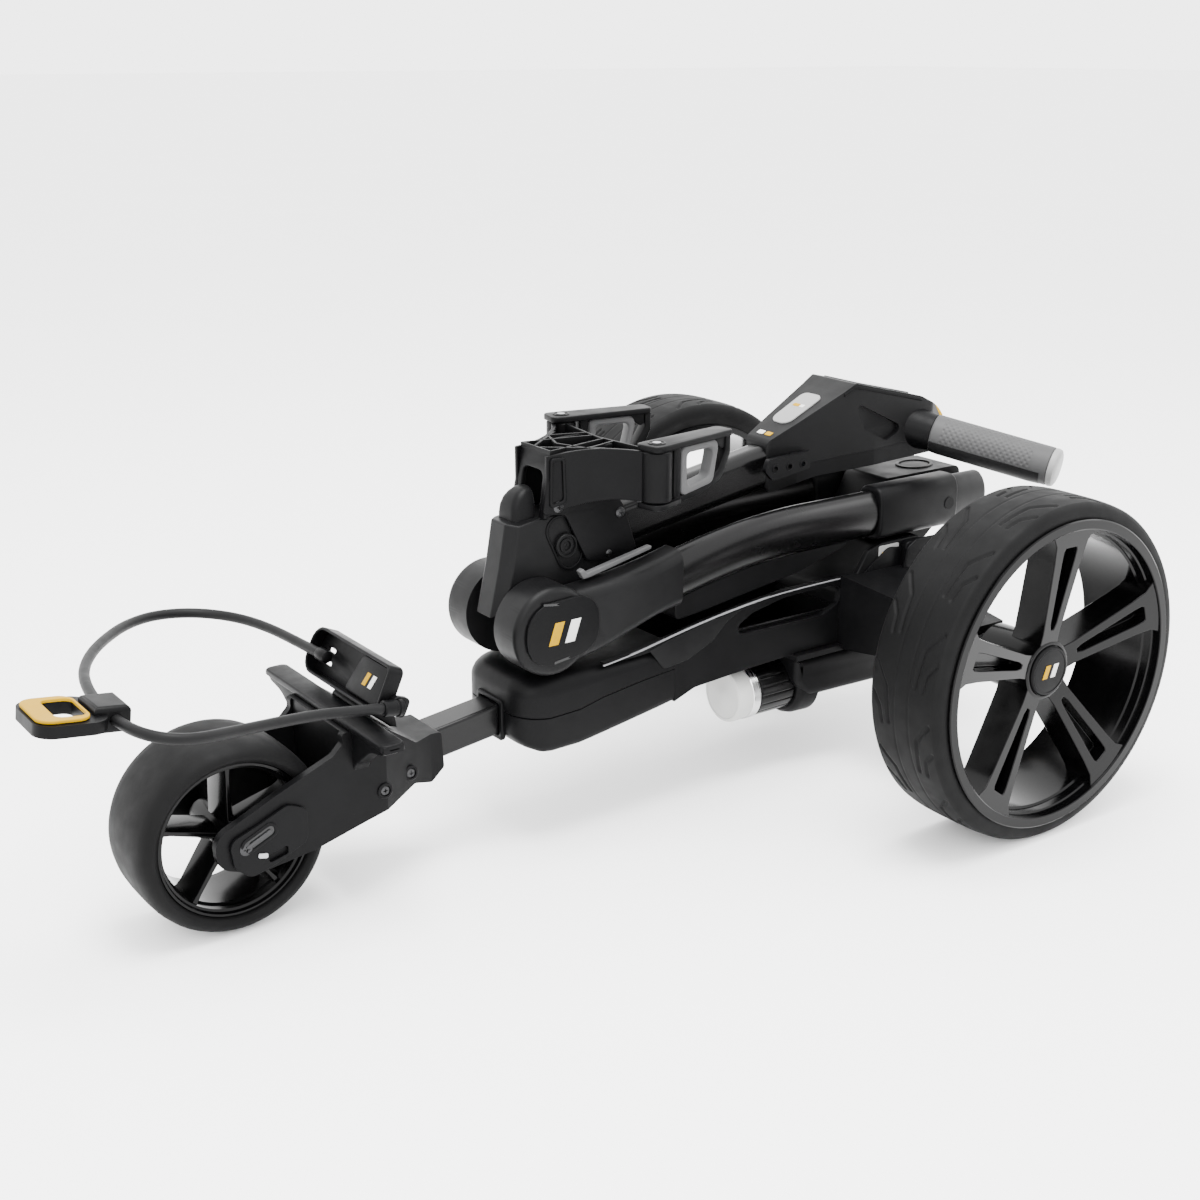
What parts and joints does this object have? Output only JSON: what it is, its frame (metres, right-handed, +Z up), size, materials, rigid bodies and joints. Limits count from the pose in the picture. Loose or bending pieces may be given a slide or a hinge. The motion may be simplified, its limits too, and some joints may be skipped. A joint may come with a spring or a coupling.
{
  "type": "electric golf trolley",
  "caption": "Three-wheeled electric golf trolley, folded flat, with bag brackets, strap, motor-driven rear axle and folding handle.",
  "frame": {"origin": "on the floor, under the middle of the whole part's box", "axes": "+X forward to the front wheel, +Y to the trolley's left, +Z up"},
  "size_m": [0.9411, 0.5734, 0.3592],
  "materials": {
    "tyre": "matte",
    "rim": "gloss",
    "black_plastic": "satin",
    "graphite_plastic": "satin",
    "black_tube": "satin",
    "steel": "satin",
    "silver": "satin",
    "pale_plastic": "satin",
    "grip": "matte",
    "strap": "matte",
    "yellow": "satin",
    "screen": "gloss",
    "pad": "matte"
  },
  "bodies": {
    "chassis": {"front_axle": "steel", "front_fork": "black_plastic", "bag_base_cradle": "black_plastic", "lower_bag_bracket": "black_plastic", "strap_cord": "strap", "strap_anchors": "black_plastic", "hook_body": "black_plastic", "hook_insert": "yellow", "front_tube": "black_tube", "nose_lower_shell": "black_plastic", "nose_upper_shell": "black_plastic", "frame_rails": "black_plastic", "battery_tray": "black_plastic", "rear_housing": "black_plastic", "gearbox_cover": "black_plastic", "motor_body": "black_tube", "motor_band": "silver", "motor_end_cap": "pale_plastic", "axle_bearings": "steel", "rear_hinge_block": "black_plastic", "rear_hinge_pin": "steel"},
    "front_wheel": {"front_tyre": "tyre", "front_rim": "rim"},
    "adjuster": {"front_adjuster": "black_plastic"},
    "frame": {"main_tube_left": "black_tube", "main_tube_right": "black_tube", "elbow_left": "graphite_plastic", "elbow_right": "graphite_plastic", "elbow_covers": "graphite_plastic", "mid_hinge_pin": "steel", "rear_collars": "black_plastic", "frame_belly_cover": "black_plastic", "elbow_buffers": "pale_plastic"},
    "handle": {"knuckle_arm": "graphite_plastic", "stem_tube": "black_tube", "support_bracket": "black_plastic", "wing_pins": "steel", "console_lower_shell": "black_plastic", "console_upper_shell": "graphite_plastic", "display_screen": "screen", "handle_bar": "black_tube", "grip_left": "grip", "grip_right": "grip", "grip_caps": "pale_plastic"},
    "release": {"release_button": "black_plastic"},
    "left_wing": {"wing_left": "black_plastic", "wing_pad_left": "pad"},
    "right_wing": {"wing_right": "black_plastic", "wing_pad_right": "pad"},
    "dial_press": {"dial_button": "yellow"},
    "dial_ring": {"speed_dial": "yellow"},
    "rear_wheels": {"drive_axle": "steel", "rear_tyre_left": "tyre", "rear_tyre_right": "tyre", "rear_rim_left": "rim", "rear_rim_right": "rim", "hub_caps": "black_plastic", "axle_gear": "steel"},
    "idler": {"idler_shaft": "steel"},
    "worm": {"worm_shaft": "steel"}
  },
  "joints": [
    {"name": "frame_fold", "type": "hinge", "parent": "chassis", "child": "frame", "pos_m": [-0.375, 0, 0.238], "axis": [0, -1, 0], "range_deg": [0, 85]},
    {"name": "handle_fold", "type": "hinge", "parent": "frame", "child": "handle", "pos_m": [0.0758, 0, 0.1962], "axis": [0, -1, 0], "range_deg": [-127, 0]},
    {"name": "release_press", "type": "slide", "parent": "handle", "child": "release", "axis": [0, 0, -1], "range_m": [0, 0.004], "stiffness_N_per_m": 600},
    {"name": "left_wing_swing", "type": "hinge", "parent": "handle", "child": "left_wing", "pos_m": [-0.016, 0.07, 0.318], "axis": [0, 0, -1], "range_deg": [0, 105]},
    {"name": "right_wing_swing", "type": "hinge", "parent": "handle", "child": "right_wing", "pos_m": [-0.016, -0.07, 0.318], "axis": [0, 0, 1], "range_deg": [0, 105]},
    {"name": "dial_push", "type": "slide", "parent": "handle", "child": "dial_press", "axis": [0.9511, 0, -0.309], "range_m": [0, 0.002], "stiffness_N_per_m": 600},
    {"name": "speed_dial_turn", "type": "hinge", "parent": "handle", "child": "dial_ring", "pos_m": [-0.395, 0, 0.304], "axis": [-0.9511, 0, 0.309], "continuous": true},
    {"name": "front_wheel_roll", "type": "hinge", "parent": "chassis", "child": "front_wheel", "pos_m": [0.3554, 0, 0.0786], "axis": [0, 1, 0], "continuous": true},
    {"name": "tracking_adjust", "type": "hinge", "parent": "chassis", "child": "adjuster", "pos_m": [0.3554, 0.05, 0.0786], "axis": [0, 1, 0], "range_deg": [-4, 4]},
    {"name": "rear_wheels_roll", "type": "hinge", "parent": "chassis", "child": "rear_wheels", "pos_m": [-0.284, 0, 0.15], "axis": [0, 1, 0], "continuous": true},
    {"name": "idler_turn", "type": "hinge", "parent": "chassis", "child": "idler", "pos_m": [-0.279, 0.022, 0.114], "axis": [0, 1, 0], "continuous": true},
    {"name": "worm_turn", "type": "hinge", "parent": "chassis", "child": "worm", "pos_m": [-0.279, 0.022, 0.084], "axis": [1, 0, 0], "continuous": true}
  ],
  "couplings": [
    {"joint": "handle_fold", "follows": "frame_fold", "ratio": -1.494},
    {"joint": "idler_turn", "follows": "rear_wheels_roll", "ratio": -3},
    {"joint": "worm_turn", "follows": "rear_wheels_roll", "ratio": -18}
  ]
}
